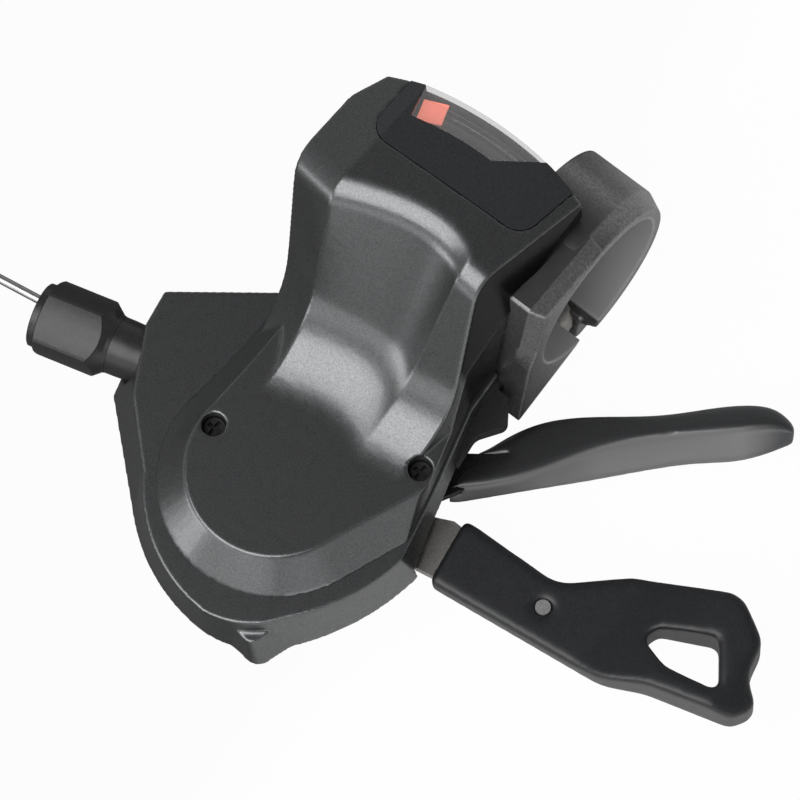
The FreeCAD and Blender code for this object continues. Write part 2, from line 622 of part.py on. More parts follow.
def build_adjuster():
    collar_from = KNOB_FROM + KNOB_LENGTH
    end = collar_from + COLLAR_LENGTH
    bolt = adjuster_rod(BOLT_INNER_END, end, BOLT_RADIUS)
    bolt = bolt.cut(adjuster_rod(BOLT_INNER_END - 1.0, end + 1.0, BOLT_HOLE_RADIUS))
    bolt = bolt.cut(adjuster_rod(CASING_SOCKET_FROM, end + 1.0, CASING_SOCKET_RADIUS))
    save("adjuster_bolt", along_adjuster(bolt))

    bore = BOLT_RADIUS + RUNNING_GAP
    profile = [
        (KNOB_FROM, bore, 0), (KNOB_FROM, KNOB_RADIUS - 1.4, 0), (KNOB_FROM + 1.0, KNOB_RADIUS - 0.2, 0),
        (KNOB_FROM + 1.6, KNOB_RADIUS, 0), (collar_from - 1.4, KNOB_RADIUS, 0),
        (collar_from - 0.8, KNOB_RADIUS - 0.2, 0), (collar_from, COLLAR_RADIUS, 0), (end, COLLAR_RADIUS, 0),
        (end, bore, 0)]
    knob = Part.Face(rounded_wire(profile, lambda x, r: V(x, 0, r))).revolve(V(0, 0, 0), ALONG_BAR, 360.0)
    flute_at = KNOB_RADIUS + FLUTE_OFFSET
    for side in range(KNOB_FLUTES):
        angle = math.radians(360.0 / KNOB_FLUTES * side)
        place = V(KNOB_FROM - 1.0, flute_at * math.cos(angle), flute_at * math.sin(angle))
        knob = knob.cut(Part.makeCylinder(FLUTE_RADIUS, KNOB_LENGTH - 0.6, place, ALONG_BAR))
    save("adjuster_knob", along_adjuster(knob))


def build_main_lever():
    low = MAIN_PLATE_TOP - PLATE_THICK
    arm = plate([(-6.5, -49.0, 0), (6.0, -26.4, 0), (15.6, -12.6, 0.8), (14.6, -11.2, 0.8), (5.8, -21.4, 4.0),
                 (-16.6, -38.0, 0)], low, MAIN_PLATE_TOP)
    ear = plate([(*polar(6.0, 120.0), 0), (*polar(14.0, 142.0), 1.5), (*polar(14.0, 158.0), 1.5),
                 (*polar(6.0, 180.0), 0)], low, MAIN_PLATE_TOP)
    steel = axle_post(low, MAIN_PLATE_TOP, MAIN_HUB_RADIUS).fuse([arm, ear])
    steel = steel.cut(axle_post(low - 1.0, MAIN_PLATE_TOP + 1.0, AXLE_RADIUS + RUNNING_GAP))
    pin = polar(*FEED_PIN)
    steel = steel.cut(post(*pin, low - 1.0, MAIN_PLATE_TOP + 1.0, FEED_PIN_RADIUS)).removeSplitter()
    save("main_lever_plate", steel)
    save("feed_pawl_pin", post(*pin, low, RATCHET_Z[1], FEED_PIN_RADIUS))

    sections = []
    for upper, lower, share in THUMB_STATIONS:
        start = V(*upper, 0)
        across_pad = V(*lower, 0) - start
        width = across_pad.Length
        scale = min(1.0, width / THUMB_FULL_WIDTH)
        shrink = THUMB_TIP_SHARE + (1 - THUMB_TIP_SHARE) * scale
        rounding = THUMB_ROUNDING * scale
        marks = ((0.0, THUMB_BACK_Z), (0.0, THUMB_EDGE_Z), (share, MAIN_PAD_TOP), (1.0, THUMB_LOWER_Z),
                 (THUMB_UNDER_SHARE, THUMB_UNDER_Z))
        corners = [(part * width, THUMB_MIDDLE_Z + shrink * (z - THUMB_MIDDLE_Z), rounding) for part, z in marks]
        along = across_pad.normalize()
        sections.append(rounded_wire(corners, lambda u, z: start + along * u + V(0, 0, z)))
    pad = Part.makeLoft(sections, True, False)
    save("main_lever_pad", pad.cut(steel))


def build_release_lever():
    low = RELEASE_PLATE_TOP - PLATE_THICK
    arm = plate([(0.0, -41.0, 0), (8.0, -40.6, 0), (27.0, -37.0, 1.5), (27.0, -33.0, 1.5), (8.0, -32.8, 0),
                 (0.6, -36.4, 0)], low, RELEASE_PLATE_TOP)
    steel = arm.fuse(post(*RELEASE_POST, low, RELEASE_PLATE_TOP, RELEASE_HUB_RADIUS))
    bore = RELEASE_POST_RADIUS + RUNNING_GAP
    steel = steel.cut(post(*RELEASE_POST, low - 1.0, RELEASE_PLATE_TOP + 1.0, bore))
    rivet = post(*RIVET, RELEASE_PAD_BOTTOM, RELEASE_PAD_TOP, RIVET_RADIUS)
    steel = steel.cut(rivet).removeSplitter()
    save("release_lever_plate", steel)
    save("release_lever_rivet", rivet)

    outline = [
        (9.0, -31.8, 0.8), (23.6, -31.2, 5.0), (30.6, -24.6, 4.0), (43.4, -18.6, 3.2), (49.3, -21.9, 3.0),
        (50.4, -26.6, 4.0), (53.8, -28.9, 1.6), (52.0, -32.1, 2.0), (40.9, -35.3, 8.0), (35.8, -37.9, 8.0),
        (10.6, -41.2, 0.8)]
    pad = plate(outline, RELEASE_PAD_BOTTOM, RELEASE_END_TOP)
    under_edges = [edge for edge in pad.Edges if edge.BoundBox.ZMax < RELEASE_PAD_BOTTOM + 0.01]
    pad = pad.makeChamfer(RELEASE_EDGE, under_edges)
    side = [
        (8.0, RELEASE_PAD_BOTTOM, 0), (56.0, RELEASE_PAD_BOTTOM, 0), (56.0, RELEASE_TIP_TOP, 0),
        (49.0, RELEASE_END_TOP, 5.0), (41.0, RELEASE_END_TOP - 0.6, 6.0), (32.0, RELEASE_PAD_TOP, 8.0),
        (8.0, RELEASE_PAD_TOP, 0)]
    bent = Part.Face(rounded_wire(side, lambda x, z: V(x, -50.0, z))).extrude(V(0, 40.0, 0))
    finger_hole = [(37.0, -30.5, 0.8), (37.6, -28.3, 0.8), (44.5, -24.8, 1.0), (48.8, -30.4, 0.8),
                   (41.4, -31.9, 4.0)]
    pad = pad.common(bent).cut(plate(finger_hole, RELEASE_PAD_BOTTOM - 1.0, RELEASE_END_TOP + 1.0))
    save("release_lever_pad", pad.cut(steel).cut(rivet))


def build_pawls():
    low = RATCHET_Z[0] + 0.1
    high = RATCHET_Z[1] - 0.1
    tip = (*polar(RATCHET_RADIUS - 0.7, 118.0), 0.2)
    feed = plate([(*polar(13.6, 158.0), 1.6), (*polar(9.7, 158.0), 1.4), (*polar(9.3, 135.0), 1.0), tip,
                  (*polar(9.9, 118.0), 0.3), (*polar(12.8, 138.0), 2.0)], low, high)
    save("feed_pawl", feed.cut(post(*polar(*FEED_PIN), low, high, FEED_PIN_RADIUS + RUNNING_GAP)))
    tip = (*polar(RATCHET_RADIUS + 0.15, -31.0), 0.2)
    stop = plate([(*polar(14.6, -68.0), 1.6), (*polar(10.0, -70.0), 1.4), (*polar(9.6, -46.0), 1.0), tip,
                  (*polar(10.2, -31.0), 0.3), (*polar(13.4, -48.0), 2.0)], low, high)
    save("stop_pawl", stop.cut(post(*polar(*STOP_PIN), low, high, STOP_PIN_RADIUS + RUNNING_GAP)))


def build_indicator():
    """A cranked strip from the axle, up inside the ramp, to the red flag under the window."""
    turn = math.radians(POINTER_ANGLE)
    outward = V(math.cos(turn), math.sin(turn), 0)
    side = V(-math.sin(turn), math.cos(turn), 0)
    hub_low, hub_high = POINTER_HUB_Z
    corners = [
        (2.0, hub_low, 0), (23.4, hub_low, 0.6), (36.0, POINTER_TOP - POINTER_THICK, 0.6),
        (FLAG_RADII[0], POINTER_TOP - POINTER_THICK, 0), (FLAG_RADII[0], POINTER_TOP, 0),
        (35.2, POINTER_TOP, 1.2), (22.6, hub_high, 1.2), (2.0, hub_high, 0)]

    def place(reach, z):
        return V(AXLE_X, AXLE_Y, z) + outward * reach - side * (0.5 * POINTER_WIDTH)

    strip = Part.Face(rounded_wire(corners, place)).extrude(side * POINTER_WIDTH)
    arm = strip.fuse(axle_post(hub_low, hub_high, POINTER_HUB_RADIUS))
    arm = arm.cut(axle_post(hub_low - 1.0, hub_high + 1.0, AXLE_RADIUS + RUNNING_GAP))
    save("indicator_arm", arm.removeSplitter())
    near, far = FLAG_RADII
    under = POINTER_TOP - POINTER_THICK
    flag = [(near, under, 0), (far, under, 0), (far, POINTER_TOP, 0), (near, POINTER_TOP, 0)]
    save("indicator_flag", Part.Face(rounded_wire(flag, place)).extrude(side * POINTER_WIDTH))


def bracket_screws():
    """Two screws from inside the housing into the clamp's leaning side."""
    start_y = CLAMP_FACE_Y - BRACKET_SCREW_IN_BASE
    length = BRACKET_SCREW_IN_BASE + BRACKET_SCREW_DEPTH
    return Part.makeCompound([
        Part.makeCylinder(BRACKET_SCREW_RADIUS, length, V(x, start_y, BRACKET_SCREW_Z), TO_RIDER)
        for x in BRACKET_SCREW_X])


def clamp_outline(radius, x):
    """The clamp seen along the bar: round top, straight flank to the foot, open slanted slot."""
    place = across(x)
    slant = V(*CLAMP_SLOT_SLANT, 0)
    mouth = V(*CLAMP_SLOT_RIGHT, 0)
    along = mouth.dot(slant)
    lip = mouth + slant * (math.sqrt(along * along + radius * radius - mouth.dot(mouth)) - along)
    inner_right = mouth - slant * 0.6
    foot = V(*CLAMP_FOOT, 0)
    tip = V(*CLAMP_SLOT_LEFT, 0)
    inner_left = tip + (tip - foot).normalize() * 0.8
    outer = tangent_point(CLAMP_FOOT, CLAMP_RADIUS)
    share = (CLAMP_BEVEL_END_Z - CLAMP_FOOT[1]) / (outer[1] - CLAMP_FOOT[1])
    bevel_end = (CLAMP_FOOT[0] + share * (outer[0] - CLAMP_FOOT[0]), CLAMP_BEVEL_END_Z)
    flank = tangent_point(bevel_end, radius)
    sweep = 0.5 * (math.atan2(flank[1], flank[0]) + math.atan2(lip.y, lip.x))
    over = place(radius * math.cos(sweep), radius * math.sin(sweep))
    edges = [Part.Arc(place(*flank), over, place(lip.x, lip.y)).toShape()]
    here = place(lip.x, lip.y)
    for point in (inner_right, inner_left, foot, V(*bevel_end, 0), V(*flank, 0)):
        edges.append(Part.LineSegment(here, place(point.x, point.y)).toShape())
        here = place(point.x, point.y)
    return Part.Wire(edges)


def build_clamp():
    half = CLAMP_HALF_WIDTH
    band = Part.makeLoft([clamp_outline(CLAMP_RADIUS, -half), clamp_outline(CLAMP_RADIUS, CLAMP_BEVEL_X),
                          clamp_outline(CLAMP_NEAR_RADIUS, half)], True, True)
    # two narrow jaws under the ring carry the bolt that closes the slot
    left_jaw = bar_block([(-12.0, -11.0, 0), (-12.0, CLAMP_LUG_FLOOR, 2.0), (-6.2, CLAMP_LUG_FLOOR, 1.0),
                          (-4.4, -10.8, 0)], -CLAMP_LUG_HALF, CLAMP_LUG_HALF)
    right_jaw = bar_block([(-1.4, -12.6, 0), (-2.6, CLAMP_LUG_FLOOR, 1.0),
                           (CLAMP_SEAT_Y, CLAMP_LUG_FLOOR, 1.0), (CLAMP_SEAT_Y, -11.0, 0)],
                          -CLAMP_LUG_HALF, CLAMP_LUG_HALF)
    band = band.fuse([left_jaw, right_jaw])
    band = band.cut(Part.makeCylinder(BAR_RADIUS, 40.0, V(-20.0, 0, 0), ALONG_BAR))
    shank_start = V(CLAMP_BOLT_X, CLAMP_BOLT_START, CLAMP_BOLT_Z)
    shank = Part.makeCylinder(CLAMP_BOLT_RADIUS, CLAMP_SEAT_Y - CLAMP_BOLT_START, shank_start, TO_RIDER)
    seat = V(CLAMP_BOLT_X, CLAMP_SEAT_Y, CLAMP_BOLT_Z)
    head_radius, head_length = CLAMP_BOLT_HEAD
    head_room = Part.makeCylinder(head_radius + CLAMP_GAP, 20.0, seat, TO_RIDER)
    band = band.cut(shank).cut(head_room).cut(bracket_screws())
    save("clamp_band", band.removeSplitter())

    head = Part.makeCylinder(head_radius, head_length, seat, TO_RIDER)
    key = [(*polar(CLAMP_KEY_RADIUS, 60.0 * corner, (CLAMP_BOLT_X, CLAMP_BOLT_Z)), 0) for corner in range(6)]
    key_floor = CLAMP_SEAT_Y + CLAMP_KEY_FLOOR
    socket = Part.Face(rounded_wire(key, lambda x, z: V(x, key_floor, z))).extrude(V(0, 6.0, 0))
    save("clamp_bolt", shank.fuse(head).cut(socket))
    save("bracket_screws", bracket_screws())

    # black filler between the housing's right wall and the clamp, with a rounded lug at its foot
    web = bar_block([(-24.0, LUG_Z[0], 0), (-16.4, LUG_Z[0], 0), (-13.8, 4.6, 0), (-15.6, 9.0, 1.0),
                     (-22.0, 0.0, 3.0)], 0.0, FILLER_SIDE)
    lug = plate([(0.0, -16.6, 0), (4.0, -16.6, 0.8), (6.2, -19.6, 1.2), (3.8, -23.2, 2.0), (4.4, -27.5, 0),
                 (0.0, -27.5, 0)], LUG_Z[0], LUG_Z[1])
    filler = web.fuse(lug).cut(cover_form()).cut(base_form())
    filler = filler.cut(bar_block(clamp_shoulder(RUNNING_GAP), -20.0, 20.0)).cut(bracket_screws())
    filler = filler.cut(Part.makeCylinder(CLAMP_RADIUS + RUNNING_GAP, 40.0, V(-20.0, 0, 0), ALONG_BAR))
    save("clamp_bracket", max(filler.Solids, key=lambda solid: solid.Volume))


os.makedirs("parts", exist_ok=True)
build_cover_and_window()
build_cover_screws()
build_base_housing()
build_lower_cover()
build_axle()
build_drum()
build_springs()
build_cable()
build_adjuster()
build_main_lever()
build_release_lever()
build_pawls()
build_indicator()
build_clamp()
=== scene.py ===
import math

import bpy
from mathutils import Matrix, Vector


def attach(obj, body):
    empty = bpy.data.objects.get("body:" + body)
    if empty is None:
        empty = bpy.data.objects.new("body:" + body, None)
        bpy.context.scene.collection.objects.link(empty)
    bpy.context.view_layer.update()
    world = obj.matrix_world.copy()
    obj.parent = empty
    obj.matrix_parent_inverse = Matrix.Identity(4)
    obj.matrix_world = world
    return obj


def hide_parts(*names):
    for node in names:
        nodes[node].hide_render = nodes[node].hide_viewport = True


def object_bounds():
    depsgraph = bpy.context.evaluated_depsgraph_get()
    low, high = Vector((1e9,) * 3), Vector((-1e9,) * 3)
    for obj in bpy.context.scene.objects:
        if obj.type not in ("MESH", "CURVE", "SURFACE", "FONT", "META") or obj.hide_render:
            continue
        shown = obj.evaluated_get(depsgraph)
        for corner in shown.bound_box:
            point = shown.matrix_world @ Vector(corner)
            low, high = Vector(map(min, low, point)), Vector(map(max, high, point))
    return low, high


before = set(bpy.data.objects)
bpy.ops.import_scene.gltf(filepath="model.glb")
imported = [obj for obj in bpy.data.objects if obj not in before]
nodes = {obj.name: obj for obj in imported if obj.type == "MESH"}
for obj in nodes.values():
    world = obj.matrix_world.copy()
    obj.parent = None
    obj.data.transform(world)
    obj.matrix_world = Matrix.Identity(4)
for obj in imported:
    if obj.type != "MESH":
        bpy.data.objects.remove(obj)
cad_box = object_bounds()


# Upper cover
# The pod, ramp and hood are one thin moulding in glass-filled nylon, sprayed dark grey with fine metal
# flake and a satin clear coat. The wall facing the clamp carries painted shade, near black. Two screws from
# above hold it.


def grey(shade):
    return (shade, shade, shade)


def add_node(tree, kind, values=None, operation=None):
    """Adds a shader node and sets the sockets that are named in values."""
    node = tree.nodes.new(kind)
    if operation is not None:
        node.operation = operation
    for socket, value in (values or {}).items():
        node.inputs[socket].default_value = value
    return node


def change_between(tree, source, low, high, at_low=0.0, at_high=1.0):
    """A value that goes from at_low to at_high while the source goes from low to high."""
    limits = {"From Min": low, "From Max": high, "To Min": at_low, "To Max": at_high}
    node = add_node(tree, "ShaderNodeMapRange", limits)
    tree.links.new(source, node.inputs["Value"])
    return node.outputs["Result"]


def both(tree, first, second):
    """A mask that is full only where both masks are."""
    node = add_node(tree, "ShaderNodeMath", operation="MULTIPLY")
    tree.links.new(first, node.inputs[0])
    tree.links.new(second, node.inputs[1])
    return node.outputs["Value"]


def along(tree, source, direction):
    """How far the source points or lies in a direction."""
    node = add_node(tree, "ShaderNodeVectorMath", {1: direction}, "DOT_PRODUCT")
    tree.links.new(source, node.inputs[0])
    return node.outputs["Value"]


def blend_colours(tree, mask, colours):
    """Goes from the first colour to the second with the mask. A colour is a socket or three numbers."""
    node = tree.nodes.new("ShaderNodeMix")
    node.data_type = "RGBA"
    tree.links.new(mask, node.inputs["Factor"])
    for socket, colour in zip(("A", "B"), colours):
        if isinstance(colour, tuple):
            node.inputs[socket].default_value = (*colour, 1.0)
        else:
            tree.links.new(colour, node.inputs[socket])
    return node.outputs["Result"]


def make_flake_group():
    """Fine flake and orange peel: a colour, a roughness and a height that vary over the surface."""
    flake_low = 0.3
    flake_high = 0.7
    flake_height = 0.35
    group = bpy.data.node_groups.new("fine_flake", "ShaderNodeTree")
    for name in ("Dark", "Light"):
        group.interface.new_socket(name=name, in_out="INPUT", socket_type="NodeSocketColor")
    for name in ("Flake Scale", "Peel Scale", "Rough Low", "Rough High"):
        group.interface.new_socket(name=name, in_out="INPUT", socket_type="NodeSocketFloat")
    group.interface.new_socket(name="Colour", in_out="OUTPUT", socket_type="NodeSocketColor")
    for name in ("Roughness", "Height"):
        group.interface.new_socket(name=name, in_out="OUTPUT", socket_type="NodeSocketFloat")
    link = group.links.new
    entry = group.nodes.new("NodeGroupInput")
    leave = group.nodes.new("NodeGroupOutput")
    place = group.nodes.new("ShaderNodeTexCoord")
    flake = add_node(group, "ShaderNodeTexNoise", {"Detail": 1.0, "Roughness": 0.6})
    peel = add_node(group, "ShaderNodeTexNoise", {"Detail": 2.0})
    for noise, scale in ((flake, "Flake Scale"), (peel, "Peel Scale")):
        link(place.outputs["Object"], noise.inputs["Vector"])
        link(entry.outputs[scale], noise.inputs["Scale"])
    spread = change_between(group, flake.outputs["Fac"], flake_low, flake_high)
    tint = blend_colours(group, spread, (entry.outputs["Dark"], entry.outputs["Light"]))
    rough = group.nodes.new("ShaderNodeMapRange")
    link(peel.outputs["Fac"], rough.inputs["Value"])
    link(entry.outputs["Rough Low"], rough.inputs["To Min"])
    link(entry.outputs["Rough High"], rough.inputs["To Max"])
    height = add_node(group, "ShaderNodeMath", {1: flake_height}, "MULTIPLY_ADD")
    link(flake.outputs["Fac"], height.inputs[0])
    link(peel.outputs["Fac"], height.inputs[2])
    link(tint, leave.inputs["Colour"])
    link(rough.outputs["Result"], leave.inputs["Roughness"])
    link(height.outputs["Value"], leave.inputs["Height"])
    return group


fine_flake = make_flake_group()


def finish_material(name, dark, light, metallic, rough, flake_scale=4000.0, peel_scale=900.0, bump=0.1,
                    bump_depth=0.00004, coat=0.0, coat_roughness=0.1):
    """A painted, moulded or metal finish with grain in its colour, roughness and height."""
    material = bpy.data.materials.new(name)
    material.use_nodes = True
    tree = material.node_tree
    shader = tree.nodes["Principled BSDF"]
    grain = tree.nodes.new("ShaderNodeGroup")
    grain.name = "grain"
    grain.node_tree = fine_flake
    grain.inputs["Dark"].default_value = (*dark, 1.0)
    grain.inputs["Light"].default_value = (*light, 1.0)
    grain.inputs["Flake Scale"].default_value = flake_scale
    grain.inputs["Peel Scale"].default_value = peel_scale
    grain.inputs["Rough Low"].default_value = rough[0]
    grain.inputs["Rough High"].default_value = rough[1]
    relief = add_node(tree, "ShaderNodeBump", {"Strength": bump, "Distance": bump_depth})
    tree.links.new(grain.outputs["Colour"], shader.inputs["Base Color"])
    tree.links.new(grain.outputs["Roughness"], shader.inputs["Roughness"])
    tree.links.new(grain.outputs["Height"], relief.inputs["Height"])
    tree.links.new(relief.outputs["Normal"], shader.inputs["Normal"])
    shader.inputs["Metallic"].default_value = metallic
    shader.inputs["Coat Weight"].default_value = coat
    shader.inputs["Coat Roughness"].default_value = coat_roughness
    return material


def dress(name, material):
    """Gives a CAD node its finish."""
    piece = nodes[name]
    piece.data.materials.clear()
    piece.data.materials.append(material)
    return piece


easing_share = 0.5
flat_face_weight = 80


def round_moulding(name, voxel, passes, keep=1.0):
    """Rounds every edge of a moulded piece by a few voxels, and thins its mesh to the given share."""
    piece = nodes[name]
    remesh = piece.modifiers.new("rounding", "REMESH")
    remesh.mode = "VOXEL"
    remesh.voxel_size = voxel
    remesh.use_smooth_shade = True
    ease = piece.modifiers.new("easing", "SMOOTH")
    ease.factor = easing_share
    ease.iterations = passes
    if keep < 1.0:
        thin = piece.modifiers.new("thinning", "DECIMATE")
        thin.ratio = keep
    shading = piece.modifiers.new("shading", "WEIGHTED_NORMAL")
    shading.mode = "FACE_AREA"
    shading.weight = flat_face_weight


grey_paint = finish_material("grey_flake_paint", (0.105, 0.108, 0.11), (0.165, 0.168, 0.17), metallic=0.85,
                             rough=(0.25, 0.32), flake_scale=5200.0, bump=0.06, coat=0.15)
cover_paint = grey_paint.copy()
cover_paint.name = "cover_flake_paint"
# Painted shade: the cover's wall that faces the clamp is painted near black, where shade falls between cover
# and clamp.
wall_shade_from_y = -0.021
wall_shade_blend = 0.001
wall_shade_facing = 0.8
wall_shade_facing_blend = 0.1
painted_wall_shade = grey(0.004)
cover_tree = cover_paint.node_tree
cover_place = cover_tree.nodes.new("ShaderNodeTexCoord")
cover_facing = along(cover_tree, cover_place.outputs["Normal"], (1.0, 0.0, 0.0))
cover_y = along(cover_tree, cover_place.outputs["Object"], (0.0, 1.0, 0.0))
cover_side = change_between(cover_tree, cover_facing, wall_shade_facing, wall_shade_facing + wall_shade_facing_blend)
cover_near = change_between(cover_tree, cover_y, wall_shade_from_y - wall_shade_blend, wall_shade_from_y)
cover_wall_shade = both(cover_tree, cover_side, cover_near)
cover_grain = cover_tree.nodes["grain"].outputs["Colour"]
cover_tint = blend_colours(cover_tree, cover_wall_shade, (cover_grain, painted_wall_shade))
cover_tree.links.new(cover_tint, cover_tree.nodes["Principled BSDF"].inputs["Base Color"])
dress("upper_cover", cover_paint)
round_moulding("upper_cover", voxel=0.0002, passes=8, keep=0.36)


# Cover screws
# Two small black steel screws with cross heads, sunk in the cover's round holes. They hold the cover down
# on the housing.
screw_black = finish_material("screw_black", grey(0.006), grey(0.012), metallic=0.2, rough=(0.4, 0.5))
dress("cover_screws", screw_black)


# Gear window
# A gloss black bezel snaps onto the end of the hood. Its clear window shows a grey plate and the red
# marker that sweeps over it, all moulded in plastic. A faint glow keeps the marker red behind the window.
gloss_black = finish_material("gloss_black_bezel", (0.028, 0.029, 0.032), (0.036, 0.037, 0.04), metallic=0.0,
                              rough=(0.12, 0.2), flake_scale=3000.0, bump=0.03)
dress("display_bezel", gloss_black)
dial_grey = finish_material("dial_grey_plastic", grey(0.06), grey(0.09), metallic=0.0, rough=(0.45, 0.55))
dress("dial_plate", dial_grey)


def add_piece(name, points, faces, material):
    """Makes a mesh in its finish and puts it in the scene."""
    mesh = bpy.data.meshes.new(name)
    mesh.from_pydata(points, [], faces)
    mesh.materials.append(material)
    piece = bpy.data.objects.new(name, mesh)
    bpy.context.scene.collection.objects.link(piece)
    return piece


def ease_edges(piece, width, segments):
    """Rounds the sharp edges of a piece by a small radius."""
    edge = piece.modifiers.new("edge", "BEVEL")
    edge.width = width
    edge.segments = segments
    edge.limit_method = "ANGLE"


marker_glow = (1.0, 0.26, 0.18, 1.0)
marker_glow_strength = 0.8
marker_red = finish_material("marker_red_plastic", (0.9, 0.2, 0.13), (0.95, 0.24, 0.16), metallic=0.0,
                             rough=(0.35, 0.45))
marker_shader = marker_red.node_tree.nodes["Principled BSDF"]
marker_shader.inputs["Emission Color"].default_value = marker_glow
marker_shader.inputs["Emission Strength"].default_value = marker_glow_strength
marker_corners = ((-0.02323, 0.0016), (-0.02022, 0.00293), (-0.01934, 0.0002), (-0.02235, -0.00114))
marker_floor = 0.0177
marker_top = 0.0181
marker_points = [(x, y, z) for z in (marker_floor, marker_top) for x, y in marker_corners]
marker_faces = [(0, 1, 2, 3), (4, 7, 6, 5), (0, 4, 5, 1), (1, 5, 6, 2), (2, 6, 7, 3), (3, 7, 4, 0)]
marker = add_piece("marker_plate", marker_points, marker_faces, marker_red)
ease_edges(marker, width=0.00012, segments=2)
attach(marker, "indicator")
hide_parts("indicator_flag")

black_plastic = finish_material("black_moulded_plastic", (0.018, 0.018, 0.019), (0.03, 0.03, 0.032),
                                metallic=0.0, rough=(0.3, 0.42), flake_scale=3600.0, bump=0.2)
dress("indicator_arm", black_plastic)

window_alpha = 0.25
weld_distance = 0.00001
clear_window = finish_material("clear_window", grey(0.36), grey(0.4), metallic=0.0, rough=(0.06, 0.1),
                               flake_scale=1500.0, bump=0.02)
clear_window.node_tree.nodes["Principled BSDF"].inputs["Alpha"].default_value = window_alpha
window = dress("display_lens", clear_window)
window_weld = window.modifiers.new("weld", "WELD")
window_weld.merge_threshold = weld_distance
ease_edges(window, width=0.0004, segments=3)


# Base housing
# The tub under the cover, moulded in the same nylon and sprayed the same grey. Its shoulder holds the
# cable adjuster and its back face carries the clamp.
dress("base_housing", grey_paint)
round_moulding("base_housing", voxel=0.0002, passes=8, keep=0.4)


# Lower cover
# A dished cap, moulded in black plastic. It closes the underside of the housing and holds the axle's
# foot.
dress("lower_cover", black_plastic)


# Mechanism
# Stamped and zinc-plated steel parts on an axle and a post, a nylon drum and drawn wire springs. All sit
# inside the housing but the end of the release lever's plate.
plated_steel = finish_material("plated_steel", (0.36, 0.345, 0.32), (0.46, 0.445, 0.42), metallic=1.0,
                               rough=(0.28, 0.42), flake_scale=2500.0)
for part_name in ("base_plate", "main_axle", "axle_nut", "ratchet_plate", "feed_pawl", "feed_pawl_pin",
                  "stop_pawl", "stop_pawl_pin", "release_post", "release_lever_plate"):
    dress(part_name, plated_steel)
spring_wire = finish_material("spring_wire", grey(0.25), grey(0.34), metallic=1.0, rough=(0.3, 0.4))
for part_name in ("drum_spring", "main_lever_spring", "release_lever_spring"):
    dress(part_name, spring_wire)
drum_nylon = finish_material("drum_nylon", (0.48, 0.48, 0.46), (0.55, 0.55, 0.53), metallic=0.0,
                             rough=(0.4, 0.5))
dress("wire_drum", drum_nylon)


# Cable and adjuster
# Drawn steel cable runs from the drum through a hollow threaded bolt. A black moulded knob with five
# bowed panels turns on the bolt, and a black neck fills the gap to the housing.
cable_steel = finish_material("cable_steel", grey(0.4), grey(0.55), metallic=1.0, rough=(0.3, 0.4),
                              flake_scale=1800.0)
for part_name in ("inner_cable", "cable_wrap", "cable_nipple"):
    dress(part_name, cable_steel)
grey_alloy = finish_material("grey_alloy", grey(0.2), grey(0.28), metallic=1.0, rough=(0.3, 0.42))
dress("cable_end_cap", grey_alloy)
dress("adjuster_bolt", grey_alloy)

adjuster_start = Vector((-0.0385, -0.0415, -0.0082))
adjuster_out = Vector((-0.96363, -0.267238, 0.0))
adjuster_up = Vector((0.0, 0.0, 1.0))
adjuster_side = adjuster_out.cross(adjuster_up)
adjuster_bore = 0.00325
ring_steps = 120
crease_angle = math.radians(24.0)


def turned_piece(name, rows):
    """A hollow piece round the adjuster's axis. Each row turns an angle into a station and a radius."""
    points = []
    for row in rows:
        for step in range(ring_steps):
            turn = 2.0 * math.pi * step / ring_steps
            station, radius = row(turn)
            spoke = adjuster_up * math.cos(turn) + adjuster_side * math.sin(turn)
            points.append(adjuster_start + adjuster_out * station + spoke * radius)
    faces = []
    for row_number in range(len(rows)):
        this_row = row_number * ring_steps
        next_row = (row_number + 1) % len(rows) * ring_steps
        for step in range(ring_steps):
            after = (step + 1) % ring_steps
            faces.append((this_row + step, this_row + after, next_row + after, next_row + step))
    piece = add_piece(name, points, faces, black_plastic)
    piece.data.polygons.foreach_set("use_smooth", [True] * len(faces))
    piece.data.set_sharp_from_angle(angle=crease_angle)
    return piece


def round_rows(outline):
    """Rows of a round stretch, from pairs of a station along the axis and a radius."""
    return [lambda turn, pair=pair: pair for pair in outline]


panel_count = 5
panel_turn = math.radians(-19.8)
panel_reach = 0.00472
panel_bow = 0.8
ridge_reach = 0.0056
cone_station = 0.00325
cone_slope = 1.5
end_station = 0.01145
end_slope = 0.35


def grip_radius(turn):
    """Five slightly bowed panels that meet in narrow ridges."""
    pitch = 2.0 * math.pi / panel_count
    across = (turn - panel_turn + pitch / 2.0) % pitch - pitch / 2.0
    return min(panel_reach / math.cos(across * panel_bow), ridge_reach)


def panel_inner_end(turn):
    radius = grip_radius(turn)
    return cone_station + (radius - panel_reach) * cone_slope, radius


def panel_outer_end(turn):
    radius = grip_radius(turn)
    return end_station + (ridge_reach - radius) * end_slope, radius


grip_foot = ((0.002, adjuster_bore), (0.002, 0.00387), (0.0025, 0.00402))
grip_collar = ((0.01195, 0.00435), (0.01275, 0.0043), (0.0129, 0.0041), (0.0129, adjuster_bore))
grip_rows = round_rows(grip_foot) + [panel_inner_end, panel_outer_end] + round_rows(grip_collar)
grip = turned_piece("knob_grip", grip_rows)
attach(grip, "adjuster_knob")
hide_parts("adjuster_knob")
neck_outline = ((-0.0045, adjuster_bore), (-0.0045, 0.00358), (-0.0022, 0.0036), (-0.0006, 0.0038),
                (0.0006, 0.00386), (0.00195, 0.00387), (0.00195, adjuster_bore))
neck = turned_piece("adjuster_neck", round_rows(neck_outline))
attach(neck, "housing")
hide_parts("adjuster_sleeve")
